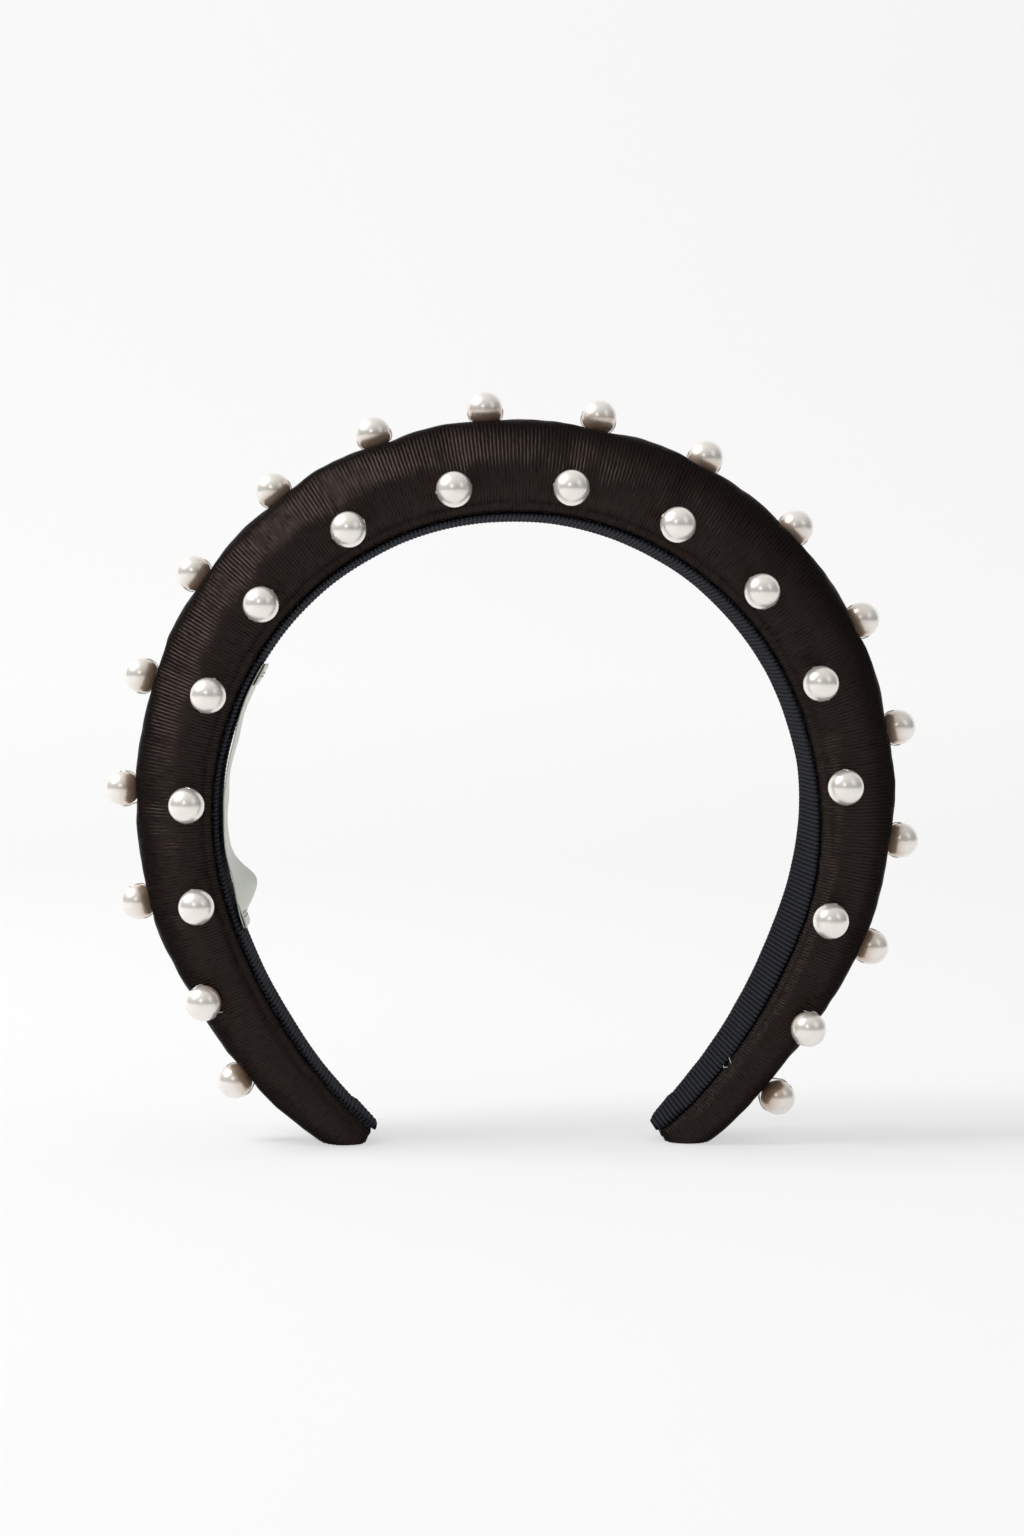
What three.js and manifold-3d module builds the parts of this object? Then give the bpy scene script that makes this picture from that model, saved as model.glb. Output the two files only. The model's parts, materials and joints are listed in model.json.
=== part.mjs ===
// A padded satin headband with sewn-on faux pearls, in millimetres, +Z up, standing on its two tips.
// The hoop lies in the XZ plane with its opening facing along Y, and x = 0 is the middle of the crown.
//
// Its layers, from the head outwards, are a ribbed ribbon lining, the turned-in edges of the satin cover, a
// springy plastic core, a domed foam pad and the satin cover. The layers are built as a left and a right half
// that meet at the crown, because the hoop springs open there: the flex pivot is the ridge of the crown.

import * as THREE from "three";
import { mergeVertices } from "three/addons/utils/BufferGeometryUtils.js";
import Module from "manifold-3d";

// ---- Driving dimensions ----

// The arch, along the core's inner face: a crown arc, then a flatter leg arc down to each tip.
const CROWN_RADIUS = 68.8;
const CROWN_SWEEP_DEG = 107.5;
const LEG_RADIUS = 123;
const LEG_LENGTH = 61.5;

// The padded section at the crown and at the tips: its height above the core's inner face, its greatest
// width, the width of its flat inner face, and how high its widest line lies.
const CROWN_SECTION = { height: 19, width: 40, face: 33, waist: 6.5 };
const TIP_SECTION = { height: 9.6, width: 22, face: 17, waist: 4 };
const TAPER_POWER = 1.15; // how late along the arch the section tapers
const ROUNDNESS = 2.25; // exponent of the section's curve; 2 is an ellipse
const TIP_ROUND = 13; // length of the rounded nose at each tip
const NOSE_SHARE = 0.5; // what is left of the section at the very end of the nose
const END_SKEW = 0.35; // how far the end leans past square, per unit of height, so that it lies more level
const FOOT_FLAT = 3.2; // how far the padding is flattened where a tip stands on a surface

// The layers.
const GAP = 0.3; // clearance between layers
const FOAM_GAP = 0.6; // clearance between the foam's dome and the cover
const COVER_WALL = 0.5;
const TURN_IN = 7; // width of the cover's edge turned in under the core
const CORE_THICKNESS = 1.5;
const CORE_SET_BACK = 4; // the core stops this far before the end of the cover
const LINING_THICKNESS = 0.8;
const LINING_OVERHANG = 1; // the lining's folded end runs this far past the cover's end

// The pearls: a row down the ridge, and a row on each side of it.
const PEARL_DIAMETER = 8;
const DRILL_DIAMETER = 1.2;
const PEARL_SEAT = 0.3; // clearance between a pearl and the cover
const SIDE_ROW = { count: 14, endMargin: 41, shift: 0, tiltDeg: -4, lastTiltDeg: [40, 22], drift: 16 };
const RIDGE_ROW = { count: 14, endMargin: 62, shift: 4.7 };
const LAST_PEARL = { endMargin: 24, shift: 2.4 }; // the ridge's last pearl on each leg

// How far each pearl of a side row is sewn off its even place, towards the right leg.
const SIDE_NUDGES = [3.5, 2.5, 0.5, 0.5, -1, -0.5, -0.5, 0.5, 0.5, -0.5, -1, -2, 3, 3.5];

// The blank label, tacked by its two ends to the lining of the left leg.
const LABEL = { start: 71, end: 135, width: 16, thickness: 0.5, bulge: 3 };
const TACK = { length: 13, width: 1.2, height: 0.6, inset: 2.5 };

// How finely curved shapes are cut into flat faces.
const ARCH_STEPS = 16;
const SECTION_STEPS = 12;
const PEARL_SIDES = 10;
const PEARL_STEPS = 6;
const LABEL_STEPS = 16;

// ---- The arch ----

const CROWN_LENGTH = CROWN_RADIUS * THREE.MathUtils.degToRad(CROWN_SWEEP_DEG);
const HALF_LENGTH = CROWN_LENGTH + LEG_LENGTH;

// Where the arch is at a distance along it from the crown, positive to the right: the point, the direction
// along it towards the right tip, and the direction outwards. The crown's middle is at height crownZ.
function archAt(distance, crownZ) {
  const side = Math.sign(distance) || 1;
  const along = Math.abs(distance);
  const sweep = CROWN_LENGTH / CROWN_RADIUS;
  const onCrown = Math.min(along, CROWN_LENGTH) / CROWN_RADIUS;
  let x = CROWN_RADIUS * Math.sin(onCrown);
  let z = crownZ - CROWN_RADIUS * (1 - Math.cos(onCrown));
  let heading = onCrown;
  if (along > CROWN_LENGTH) {
    heading = sweep + (along - CROWN_LENGTH) / LEG_RADIUS;
    x += LEG_RADIUS * (Math.sin(heading) - Math.sin(sweep));
    z += LEG_RADIUS * (Math.cos(heading) - Math.cos(sweep));
  }
  return {
    point: new THREE.Vector3(side * x, 0, z),
    tangent: new THREE.Vector3(Math.cos(heading), 0, -side * Math.sin(heading)),
    outward: new THREE.Vector3(side * Math.sin(heading), 0, Math.cos(heading)),
  };
}

// ---- The padded section ----

// The section's sizes at a distance along the arch. It tapers from the crown to the tips and closes to a
// rounded nose over the last TIP_ROUND of each leg.
function sectionAt(distance) {
  const along = Math.min(Math.abs(distance), HALF_LENGTH);
  const taper = Math.cos((Math.PI / 2) * (along / HALF_LENGTH) ** TAPER_POWER);
  const fromEnd = Math.min((HALF_LENGTH - along) / TIP_ROUND, 1);
  const nose = NOSE_SHARE + (1 - NOSE_SHARE) * Math.sqrt(1 - (1 - fromEnd) ** 2);
  const size = (name) =>
    nose * THREE.MathUtils.lerp(TIP_SECTION[name], CROWN_SECTION[name], taper);
  return { height: size("height"), width: size("width"), face: size("face"), waist: size("waist") };
}

const COVER_FLOOR = -(GAP + COVER_WALL); // the height of the cover's inner-facing side

// The three half-axes of the section's curve, set in by inset from the cover's outside: half the width, and
// the heights above and below the waist. The lower one makes the flat inner face as wide as asked.
function halfAxes(size, inset) {
  const faceShare = (size.face / size.width) ** ROUNDNESS;
  const below = (size.waist - COVER_FLOOR) / (1 - faceShare) ** (1 / ROUNDNESS);
  return {
    half: size.width / 2 - inset,
    above: size.height - size.waist - inset,
    below: below - inset,
  };
}

// A point of the section's curve, as [across, height]. The angle is 0 at the waist and 90 at the ridge.
function curvePoint(size, inset, angle) {
  const { half, above, below } = halfAxes(size, inset);
  const [c, s] = [Math.cos(angle), Math.sin(angle)];
  const power = 2 / ROUNDNESS;
  const rise = s < 0 ? below : above;
  return [
    half * Math.sign(c) * Math.abs(c) ** power,
    size.waist + rise * Math.sign(s) * Math.abs(s) ** power,
  ];
}

// The closed outline of a domed layer: the curve from one side to the other, cut flat at height floor.
function domeOutline(distance, inset, floor) {
  const size = sectionAt(distance);
  const { above, below } = halfAxes(size, inset);
  const rise = floor < size.waist ? below : above;
  const share = THREE.MathUtils.clamp((floor - size.waist) / rise, -1, 1);
  const start = Math.sign(share) * Math.asin(Math.abs(share) ** (ROUNDNESS / 2));
  const outline = [];
  for (let i = 0; i <= SECTION_STEPS; i++) {
    const angle = THREE.MathUtils.lerp(start, Math.PI - start, i / SECTION_STEPS);
    outline.push(curvePoint(size, inset, angle));
  }
  return outline;
}

// The closed outline of a flat strip, such as the core or the lining.
function stripOutline(width, floor, thickness) {
  return [
    [width / 2, floor],
    [width / 2, floor + thickness],
    [-width / 2, floor + thickness],
    [-width / 2, floor],
  ];
}

// How far a point of the section is moved along the arch, over the nose, by the lean of the end.
function leanAt(distance, height) {
  const share = (Math.abs(distance) - (HALF_LENGTH - TIP_ROUND)) / TIP_ROUND;
  return END_SKEW * Math.max(share, 0) * Math.max(height, 0);
}

// ---- Standing height ----

// The lowest that the cover's outside reaches, with the crown's middle at height 0.
function lowestRidge() {
  const samples = 400;
  let lowest = Infinity;
  for (let i = 0; i <= samples; i++) {
    const distance = (HALF_LENGTH * i) / samples;
    const { point, outward, tangent } = archAt(distance, 0);
    const { height } = sectionAt(distance);
    lowest = Math.min(lowest, point.z + outward.z * height + tangent.z * leanAt(distance, height));
  }
  return lowest;
}

const CROWN_Z = -lowestRidge() - FOOT_FLAT;

// ---- Sweeping outlines along the arch ----

// The distances at which a layer of one half has an outline, closer together round the nose. Each one is a
// pair: the distance whose section it takes, and the distance where it lies. The second falls short of the
// first round the nose, by inset at the very end, so that the layers nest.
function stations(from, to, inset = 0) {
  const noseStart = HALF_LENGTH - TIP_ROUND;
  const noseSteps = 5;
  const list = [];
  for (let i = 0; i <= ARCH_STEPS; i++) {
    const distance = THREE.MathUtils.lerp(from, noseStart, i / ARCH_STEPS);
    list.push([distance, distance]);
  }
  for (let i = 1; i <= noseSteps; i++) {
    const turn = (Math.PI / 2) * (i / noseSteps);
    const distance = THREE.MathUtils.lerp(noseStart, to, Math.sin(turn));
    list.push([distance, distance - (inset * (distance - noseStart)) / TIP_ROUND]);
  }
  return list;
}

// A closed solid through the outlines at the given stations. lift keeps it that far above the surface that
// the headband stands on, which flattens the padding at the tips.
function sweep(stationList, outlineAt, side, lift = -Infinity) {
  const positions = [];
  const rings = stationList.map(([distance, place]) => {
    const { point, outward, tangent } = archAt(side * place, CROWN_Z);
    return outlineAt(distance).map(([across, height]) => {
      const at = point.clone().addScaledVector(outward, height);
      at.addScaledVector(tangent, side * leanAt(place, height));
      positions.push(at.x, across, Math.max(at.z, lift));
      return positions.length / 3 - 1;
    });
  });
  const faces = [];
  const count = rings[0].length;
  for (let r = 0; r + 1 < rings.length; r++) {
    for (let i = 0; i < count; i++) {
      const [a, b] = [rings[r][i], rings[r][(i + 1) % count]];
      const [c, d] = [rings[r + 1][i], rings[r + 1][(i + 1) % count]];
      faces.push([a, c, b], [b, c, d]);
    }
  }
  for (let i = 1; i + 1 < count; i++) {
    const [first, last] = [rings[0], rings.at(-1)];
    faces.push([first[0], first[i], first[i + 1]], [last[0], last[i + 1], last[i]]);
  }
  if (side > 0) faces.forEach((face) => face.reverse());
  const geometry = new THREE.BufferGeometry();
  geometry.setAttribute("position", new THREE.Float32BufferAttribute(positions, 3));
  geometry.setIndex(faces.flat());
  return geometry;
}

// ---- Booleans ----

const wasm = await Module();
wasm.setup();

function solidOf(geometry) {
  const bare = geometry.clone();
  bare.deleteAttribute("normal");
  bare.deleteAttribute("uv");
  const merged = mergeVertices(bare);
  const mesh = new wasm.Mesh({
    numProp: 3,
    vertProperties: merged.attributes.position.array,
    triVerts: new Uint32Array(merged.index.array),
  });
  return new wasm.Manifold(mesh);
}

function geometryOf(solid) {
  const mesh = solid.getMesh();
  const geometry = new THREE.BufferGeometry();
  geometry.setAttribute("position", new THREE.BufferAttribute(mesh.vertProperties, 3));
  geometry.setIndex(new THREE.BufferAttribute(mesh.triVerts, 1));
  return geometry;
}

// ---- The layers of one half; side is 1 for the right half and -1 for the left ----

const SPLIT = GAP / 2; // each half stops this far from the middle of the crown

// The plastic spring strip, which fits between the cover's sides.
function core(side) {
  const end = HALF_LENGTH - CORE_SET_BACK;
  const width = (distance) => sectionAt(Math.min(distance, end)).face - 2 * (COVER_WALL + GAP);
  const outline = (distance) => stripOutline(width(distance), 0, CORE_THICKNESS);
  return sweep(stations(SPLIT, end, COVER_WALL + GAP), outline, side);
}

// The foam, a dome that lies on the core and fills the cover.
function foam(side) {
  const inset = COVER_WALL + FOAM_GAP;
  const outline = (distance) => domeOutline(distance, inset, CORE_THICKNESS + GAP);
  return sweep(stations(SPLIT, HALF_LENGTH, inset), outline, side, inset);
}

// The satin cover: a thin shell round the foam and core. Its edges are turned in under the core, and the
// slot between them shows the core's inner face, which the lining hides.
function cover(side) {
  const pastSplit = -1;
  const outside = sweep(
    stations(SPLIT, HALF_LENGTH),
    (distance) => domeOutline(distance, 0, COVER_FLOOR),
    side,
    0,
  );
  const cavity = sweep(
    stations(pastSplit, HALF_LENGTH, COVER_WALL),
    (distance) => domeOutline(distance, COVER_WALL, -GAP),
    side,
    COVER_WALL,
  );
  const slot = sweep(
    stations(pastSplit, HALF_LENGTH - TURN_IN),
    (distance) => stripOutline(sectionAt(distance).face - 2 * TURN_IN, 2 * COVER_FLOOR, -2 * COVER_FLOOR),
    side,
  );
  return geometryOf(solidOf(outside).subtract(solidOf(cavity)).subtract(solidOf(slot)));
}

// The ribbed ribbon over the cover's turned-in edges, against the head.
function lining(side) {
  const floor = COVER_FLOOR - GAP - LINING_THICKNESS;
  const outline = (distance) => stripOutline(sectionAt(distance).face, floor, LINING_THICKNESS);
  return sweep(stations(SPLIT, HALF_LENGTH + LINING_OVERHANG), outline, side);
}

// ---- The pearls ----

// A bead drilled through its middle, with the drilled hole along Y.
function pearl() {
  const [radius, hole] = [PEARL_DIAMETER / 2, DRILL_DIAMETER / 2];
  const start = Math.asin(hole / radius);
  const profile = [];
  for (let i = 0; i <= PEARL_STEPS; i++) {
    const angle = THREE.MathUtils.lerp(start, Math.PI - start, i / PEARL_STEPS);
    profile.push(new THREE.Vector2(radius * Math.sin(angle), -radius * Math.cos(angle)));
  }
  profile.push(profile[0].clone());
  return new THREE.LatheGeometry(profile, PEARL_SIDES);
}

// Where a pearl sits: its height above the core's inner face and its distance across, on the section's curve
// at the given tilt, which is 90 degrees on the ridge.
function pearlSeat(distance, tilt) {
  const size = sectionAt(distance);
  const step = 0.01;
  const [y0, h0] = curvePoint(size, 0, tilt - step);
  const [y1, h1] = curvePoint(size, 0, tilt + step);
  const slope = Math.hypot(y1 - y0, h1 - h0);
  const off = PEARL_DIAMETER / 2 + PEARL_SEAT;
  return {
    across: (y0 + y1) / 2 + (off * (h1 - h0)) / slope,
    height: (h0 + h1) / 2 - (off * (y1 - y0)) / slope,
  };
}

// The tilt of the side rows: just below the waist, until the last pearls drift towards the ridge, more so on
// the left leg than on the right.
function sideTilt(distance) {
  const share = Math.min(Math.abs(distance) / (HALF_LENGTH - SIDE_ROW.endMargin), 1);
  const last = SIDE_ROW.lastTiltDeg[distance < 0 ? 0 : 1];
  return THREE.MathUtils.degToRad(THREE.MathUtils.lerp(SIDE_ROW.tiltDeg, last, share ** SIDE_ROW.drift));
}

// The distances of a row's pearls along the arch, evenly spaced along the row's own line, from one end
// margin to the other. shift moves the row towards the right leg.
function rowDistances(row, tiltAt) {
  const samples = 600;
  const last = HALF_LENGTH - row.endMargin;
  const lengths = [0];
  const line = (distance) => {
    const { point, outward } = archAt(distance, CROWN_Z);
    const seat = pearlSeat(distance, tiltAt(distance));
    return point.addScaledVector(outward, seat.height).setY(seat.across);
  };
  const distanceOf = (i) => THREE.MathUtils.lerp(-last, last, i / samples);
  for (let i = 1; i <= samples; i++) {
    lengths.push(lengths[i - 1] + line(distanceOf(i)).distanceTo(line(distanceOf(i - 1))));
  }
  const found = [];
  for (let k = 0; k < row.count; k++) {
    const wanted = (lengths[samples] * k) / (row.count - 1);
    const after = Math.max(1, lengths.findIndex((length) => length >= wanted - 1e-9));
    const share = (wanted - lengths[after - 1]) / (lengths[after] - lengths[after - 1]);
    found.push(distanceOf(after - 1 + share) + row.shift);
  }
  return found;
}

const ridgeTilt = () => Math.PI / 2;
const lastOnRidge = HALF_LENGTH - LAST_PEARL.endMargin;
const ridgeDistances = [
  LAST_PEARL.shift - lastOnRidge,
  ...rowDistances(RIDGE_ROW, ridgeTilt),
  LAST_PEARL.shift + lastOnRidge,
];
const sideDistances = rowDistances(SIDE_ROW, sideTilt).map((distance, i) => distance + SIDE_NUDGES[i]);

// ---- The label ----

// The label's outline seen along Y: a thin strip that leaves the lining between its two tacked ends.
function label() {
  const rest = COVER_FLOOR - 2 * GAP - LINING_THICKNESS;
  const edge = (share, depth) => {
    const distance = THREE.MathUtils.lerp(LABEL.start, LABEL.end, share);
    const off = rest - depth - LABEL.bulge * Math.sin(Math.PI * share) ** 2;
    const { point, outward } = archAt(-distance, CROWN_Z);
    point.addScaledVector(outward, off);
    return new THREE.Vector2(point.x, point.z);
  };
  const shares = Array.from({ length: LABEL_STEPS + 1 }, (_, i) => i / LABEL_STEPS);
  const near = shares.map((share) => edge(share, 0));
  const far = shares.map((share) => edge(share, LABEL.thickness)).reverse();
  const shape = new THREE.Shape([...near, ...far]);
  const geometry = new THREE.ExtrudeGeometry(shape, { depth: LABEL.width, bevelEnabled: false });
  return geometry.rotateX(Math.PI / 2).translate(0, LABEL.width / 2, 0);
}

// A bar tack of thread across one end of the label. toMiddle is 1 at its upper end and -1 at its lower end.
function tack(end, toMiddle) {
  const distance = -(end + toMiddle * TACK.inset);
  const { point, outward, tangent } = archAt(distance, CROWN_Z);
  const share = TACK.inset / (LABEL.end - LABEL.start);
  const lift = LABEL.bulge * Math.sin(Math.PI * share) ** 2;
  const top = COVER_FLOOR - 3 * GAP - LINING_THICKNESS - LABEL.thickness - lift;
  const geometry = new THREE.BoxGeometry(TACK.width, TACK.length, TACK.height);
  const turn = new THREE.Matrix4().makeBasis(tangent, new THREE.Vector3(0, 1, 0), outward);
  turn.setPosition(point.addScaledVector(outward, top - TACK.height / 2));
  return geometry.applyMatrix4(turn);
}

// ---- Materials ----

const satin = new THREE.MeshStandardMaterial({ color: 0x17120f, roughness: 0.45, metalness: 0 });
const ribbon = new THREE.MeshStandardMaterial({ color: 0x101218, roughness: 0.85, metalness: 0 });
const sponge = new THREE.MeshStandardMaterial({ color: 0xd9d3c4, roughness: 0.95, metalness: 0 });
const plastic = new THREE.MeshStandardMaterial({ color: 0x1c1c1e, roughness: 0.4, metalness: 0 });
const nacre = new THREE.MeshStandardMaterial({ color: 0xe9e4dc, roughness: 0.25, metalness: 0 });
const labelCloth = new THREE.MeshStandardMaterial({ color: 0xe4e5dc, roughness: 0.6, metalness: 0 });
const thread = new THREE.MeshStandardMaterial({ color: 0xdcdccf, roughness: 0.8, metalness: 0 });

// ---- Assembly ----

const headband = new THREE.Group();

function add(name, geometry, material) {
  const mesh = new THREE.Mesh(geometry, material);
  mesh.name = name;
  headband.add(mesh);
  return mesh;
}

for (const [name, side] of [["left", -1], ["right", 1]]) {
  add(`core_${name}`, core(side), plastic);
  add(`foam_${name}`, foam(side), sponge);
  add(`cover_${name}`, cover(side), satin);
  add(`lining_${name}`, lining(side), ribbon);
}

add("label", label(), labelCloth);
add("label_tack_upper", tack(LABEL.start, 1), thread);
add("label_tack_lower", tack(LABEL.end, -1), thread);

// Each pearl's drilled hole runs along its row, and where names the face of the band: -1 front, 1 back.
function addPearls(row, distances, tiltAt, where) {
  distances.forEach((distance, i) => {
    const { point, outward, tangent } = archAt(distance, CROWN_Z);
    const seat = pearlSeat(distance, tiltAt(distance));
    const number = String(i + 1).padStart(2, "0");
    const bead = add(`pearl_${row}_${number}`, pearl(), nacre);
    bead.position.copy(point).addScaledVector(outward, seat.height).setY(where * seat.across);
    bead.quaternion.setFromUnitVectors(new THREE.Vector3(0, 1, 0), tangent);
  });
}

addPearls("front", sideDistances, sideTilt, -1);
addPearls("ridge", ridgeDistances, ridgeTilt, 1);
addPearls("back", sideDistances, sideTilt, 1);

export default headband;
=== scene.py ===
import json
import math

import bmesh
import bpy
import numpy as np
from mathutils import Matrix, Vector

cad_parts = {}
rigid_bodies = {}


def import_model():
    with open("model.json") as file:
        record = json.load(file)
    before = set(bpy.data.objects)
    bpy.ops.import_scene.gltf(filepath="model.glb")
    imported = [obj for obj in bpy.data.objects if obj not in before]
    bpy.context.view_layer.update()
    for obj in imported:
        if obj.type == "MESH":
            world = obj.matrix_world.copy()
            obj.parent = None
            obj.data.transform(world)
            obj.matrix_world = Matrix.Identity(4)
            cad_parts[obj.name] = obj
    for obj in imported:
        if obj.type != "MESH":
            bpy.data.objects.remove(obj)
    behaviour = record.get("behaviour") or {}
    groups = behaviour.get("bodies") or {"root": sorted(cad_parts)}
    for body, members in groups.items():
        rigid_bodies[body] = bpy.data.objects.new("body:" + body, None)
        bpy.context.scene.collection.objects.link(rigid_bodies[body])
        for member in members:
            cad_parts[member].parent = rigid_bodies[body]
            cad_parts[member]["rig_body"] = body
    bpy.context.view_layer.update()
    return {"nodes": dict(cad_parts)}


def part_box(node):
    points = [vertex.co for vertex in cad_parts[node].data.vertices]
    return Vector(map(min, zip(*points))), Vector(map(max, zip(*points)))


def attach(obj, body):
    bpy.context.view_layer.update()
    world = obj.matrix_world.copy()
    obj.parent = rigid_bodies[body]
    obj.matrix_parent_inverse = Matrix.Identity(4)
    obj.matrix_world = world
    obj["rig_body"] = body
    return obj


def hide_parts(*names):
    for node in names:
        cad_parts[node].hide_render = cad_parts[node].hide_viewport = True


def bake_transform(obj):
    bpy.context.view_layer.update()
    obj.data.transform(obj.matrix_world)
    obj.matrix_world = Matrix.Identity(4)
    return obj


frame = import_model()

LEFT, RIGHT = "left_half", "right_half"
MM = 0.001
FULL_TURN = 2 * math.pi

# ---- Camera ----

cam_data = bpy.data.cameras.new("camera")
cam_data.lens, cam_data.sensor_width = 74.0, 36.0
camera = bpy.data.objects.new("camera", cam_data)
bpy.context.scene.collection.objects.link(camera)
camera.location = (-0.022, -0.720, 0.112)
aim = Vector((-0.0006, 0.0, 0.0851)) - camera.location
camera.rotation_euler = aim.to_track_quat("-Z", "Y").to_euler()
bpy.context.scene.camera = camera

# ---- The arch and its padded section, in millimetres, as the CAD has them ----

CROWN_RADIUS, LEG_RADIUS = 68.8, 123.0
CROWN_SWEEP = math.radians(107.5)
CROWN_LENGTH = CROWN_RADIUS * CROWN_SWEEP
LEG_LENGTH = 61.5
HALF_LENGTH = CROWN_LENGTH + LEG_LENGTH
SIZES = {"height": (19, 9.6), "width": (40, 22), "face": (33, 17), "waist": (6.5, 4)}  # at crown and tips
TAPER_POWER, ROUNDNESS = 1.15, 2.25
TIP_ROUND, NOSE_SHARE, END_SKEW = 13.0, 0.5, 0.35
COVER_FLOOR = -0.8
CROWN_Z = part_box("cover_left")[1].z / MM - SIZES["height"][0]
BEAD_RADIUS = 4.0


def arch(s):
    """Points, tangents towards the right tip and outward normals at distances s from the crown."""
    s = np.atleast_1d(np.asarray(s, float))
    side, along = np.where(s < 0, -1.0, 1.0), np.abs(s)
    turn = np.minimum(along, CROWN_LENGTH) / CROWN_RADIUS
    heading = turn + np.maximum(along - CROWN_LENGTH, 0) / LEG_RADIUS
    x = CROWN_RADIUS * np.sin(turn) + LEG_RADIUS * (np.sin(heading) - np.sin(turn))
    z = CROWN_Z - CROWN_RADIUS * (1 - np.cos(turn)) + LEG_RADIUS * (np.cos(heading) - np.cos(turn))
    zero = np.zeros_like(s)
    point = np.stack([side * x, zero, z], 1)
    tangent = np.stack([np.cos(heading), zero, -side * np.sin(heading)], 1)
    outward = np.stack([side * np.sin(heading), zero, np.cos(heading)], 1)
    return point, tangent, outward


TWIST = math.radians(6.5)  # the lower right leg is turned this much to show its lining
TWIST_FROM, TWIST_OVER = 92, 46  # where along the leg the turn starts, and how far it takes


def smooth(share):
    """An even start and stop for a share 0..1."""
    return share * share * (3 - 2 * share)


def lay(s, across, height, bare=False):
    """Points, or bare directions, for across and height in the section's plane at distances s."""
    point, tangent, outward = arch(s)
    if np.ndim(across) == 2:
        point, tangent, outward = point[:, None], tangent[:, None], outward[:, None]
        s = np.asarray(s)[:, None]
    turn = TWIST * smooth(np.clip((s - TWIST_FROM) / TWIST_OVER, 0, 1))
    out = (height * np.cos(turn) - across * np.sin(turn))[..., None] * outward
    out[..., 1] = across * np.cos(turn) + height * np.sin(turn)
    if bare:
        return out
    nose = np.maximum((np.abs(s) - (HALF_LENGTH - TIP_ROUND)) / TIP_ROUND, 0)
    lean = END_SKEW * nose * np.maximum(height, 0) * np.where(s < 0, -1.0, 1.0)
    return out + point + tangent * lean[..., None]


def section(s):
    """The section's height, width, face and waist at distances s."""
    along = np.minimum(np.abs(np.atleast_1d(s)), HALF_LENGTH)
    taper = np.cos(math.pi / 2 * (along / HALF_LENGTH) ** TAPER_POWER)
    from_end = np.minimum((HALF_LENGTH - along) / TIP_ROUND, 1)
    nose = NOSE_SHARE + (1 - NOSE_SHARE) * np.sqrt(1 - (1 - from_end) ** 2)
    return {k: nose * (tip + (crown - tip) * taper) for k, (crown, tip) in SIZES.items()}


def dome(s, shares, inset=0.0, floor=COVER_FLOOR):
    """Points of the section's curve at distances s, at shares 0..1 of its girth: across, height, the two
    parts of its outward direction, and the girth from the ridge. Each is an array of s by shares."""
    size = {k: v[:, None] for k, v in section(s).items()}
    share = (size["face"] / size["width"]) ** ROUNDNESS
    below = (size["waist"] - COVER_FLOOR) / (1 - share) ** (1 / ROUNDNESS) - inset
    above = size["height"] - size["waist"] - inset
    half = size["width"] / 2 - inset
    rise = np.clip((floor - size["waist"]) / below, -1, 1)
    start = np.sign(rise) * np.arcsin(np.abs(rise) ** (ROUNDNESS / 2))
    t = np.linspace(0, 1, 400)[None, :]
    angle = start + (math.pi - 2 * start) * t
    c, sn = np.cos(angle), np.sin(angle)
    power = 2 / ROUNDNESS
    across = half * np.sign(c) * np.abs(c) ** power
    height = size["waist"] + np.where(sn < 0, below, above) * np.sign(sn) * np.abs(sn) ** power
    steps = np.hypot(np.diff(across, axis=1), np.diff(height, axis=1))
    girth = np.concatenate([np.zeros((len(across), 1)), np.cumsum(steps, axis=1)], axis=1)
    shares = np.asarray(shares, float)
    out = np.empty((5, len(across), len(shares)))
    near = 0.25
    for i, (walked, a, h) in enumerate(zip(girth, across, height)):
        at = shares * walked[-1]
        a0, a_here, a1 = (np.interp(at + k, walked, a) for k in (-near, 0, near))
        h0, h_here, h1 = (np.interp(at + k, walked, h) for k in (-near, 0, near))
        length = np.hypot(a1 - a0, h1 - h0)
        out[:, i] = a_here, h_here, (h1 - h0) / length, (a0 - a1) / length, at - walked[-1] / 2
    return out


def ripple(u, v, wavelength, seed, stretch=1.0, count=14):
    """Smooth random lumps of unit size over the plane u, v; stretch lengthens them along v."""
    rng = np.random.default_rng(seed)
    total = np.zeros(np.broadcast(u, v).shape)
    for _ in range(count):
        turn, phase = rng.uniform(0, FULL_TURN, 2)
        size = wavelength * rng.uniform(0.7, 1.5)
        total += np.sin(FULL_TURN * (u * math.cos(turn) + v * math.sin(turn) / stretch) / size + phase)
    return total / math.sqrt(count / 2)


def bump_at(t, middle, width):
    """A smooth bump of height 1."""
    return np.exp(-(((t - middle) / width) ** 2))


# ---- Mesh helpers ----


def new_object(name, vertices, faces, material):
    """A smooth object of vertices in millimetres, with its faces turned outwards."""
    mesh = bpy.data.meshes.new(name)
    mesh.from_pydata(np.asarray(vertices, float) * MM, [], faces)
    mesh.validate()
    work = bmesh.new()
    work.from_mesh(mesh)
    bmesh.ops.recalc_face_normals(work, faces=work.faces)
    work.to_mesh(mesh)
    work.free()
    mesh.update()
    mesh.shade_smooth()
    mesh.materials.append(material)
    made = bpy.data.objects.new(name, mesh)
    bpy.context.scene.collection.objects.link(made)
    return made


def add_uv(obj, u, v, name="weave"):
    """A UV map from one u and one v for each vertex; u and v are arrays in the order of the vertices."""
    layer = obj.data.uv_layers.new(name=name)
    loops = np.empty(len(obj.data.loops), int)
    obj.data.loops.foreach_get("vertex_index", loops)
    layer.data.foreach_set("uv", np.stack([u[loops], v[loops]], 1).astype(np.float32).ravel())


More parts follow.
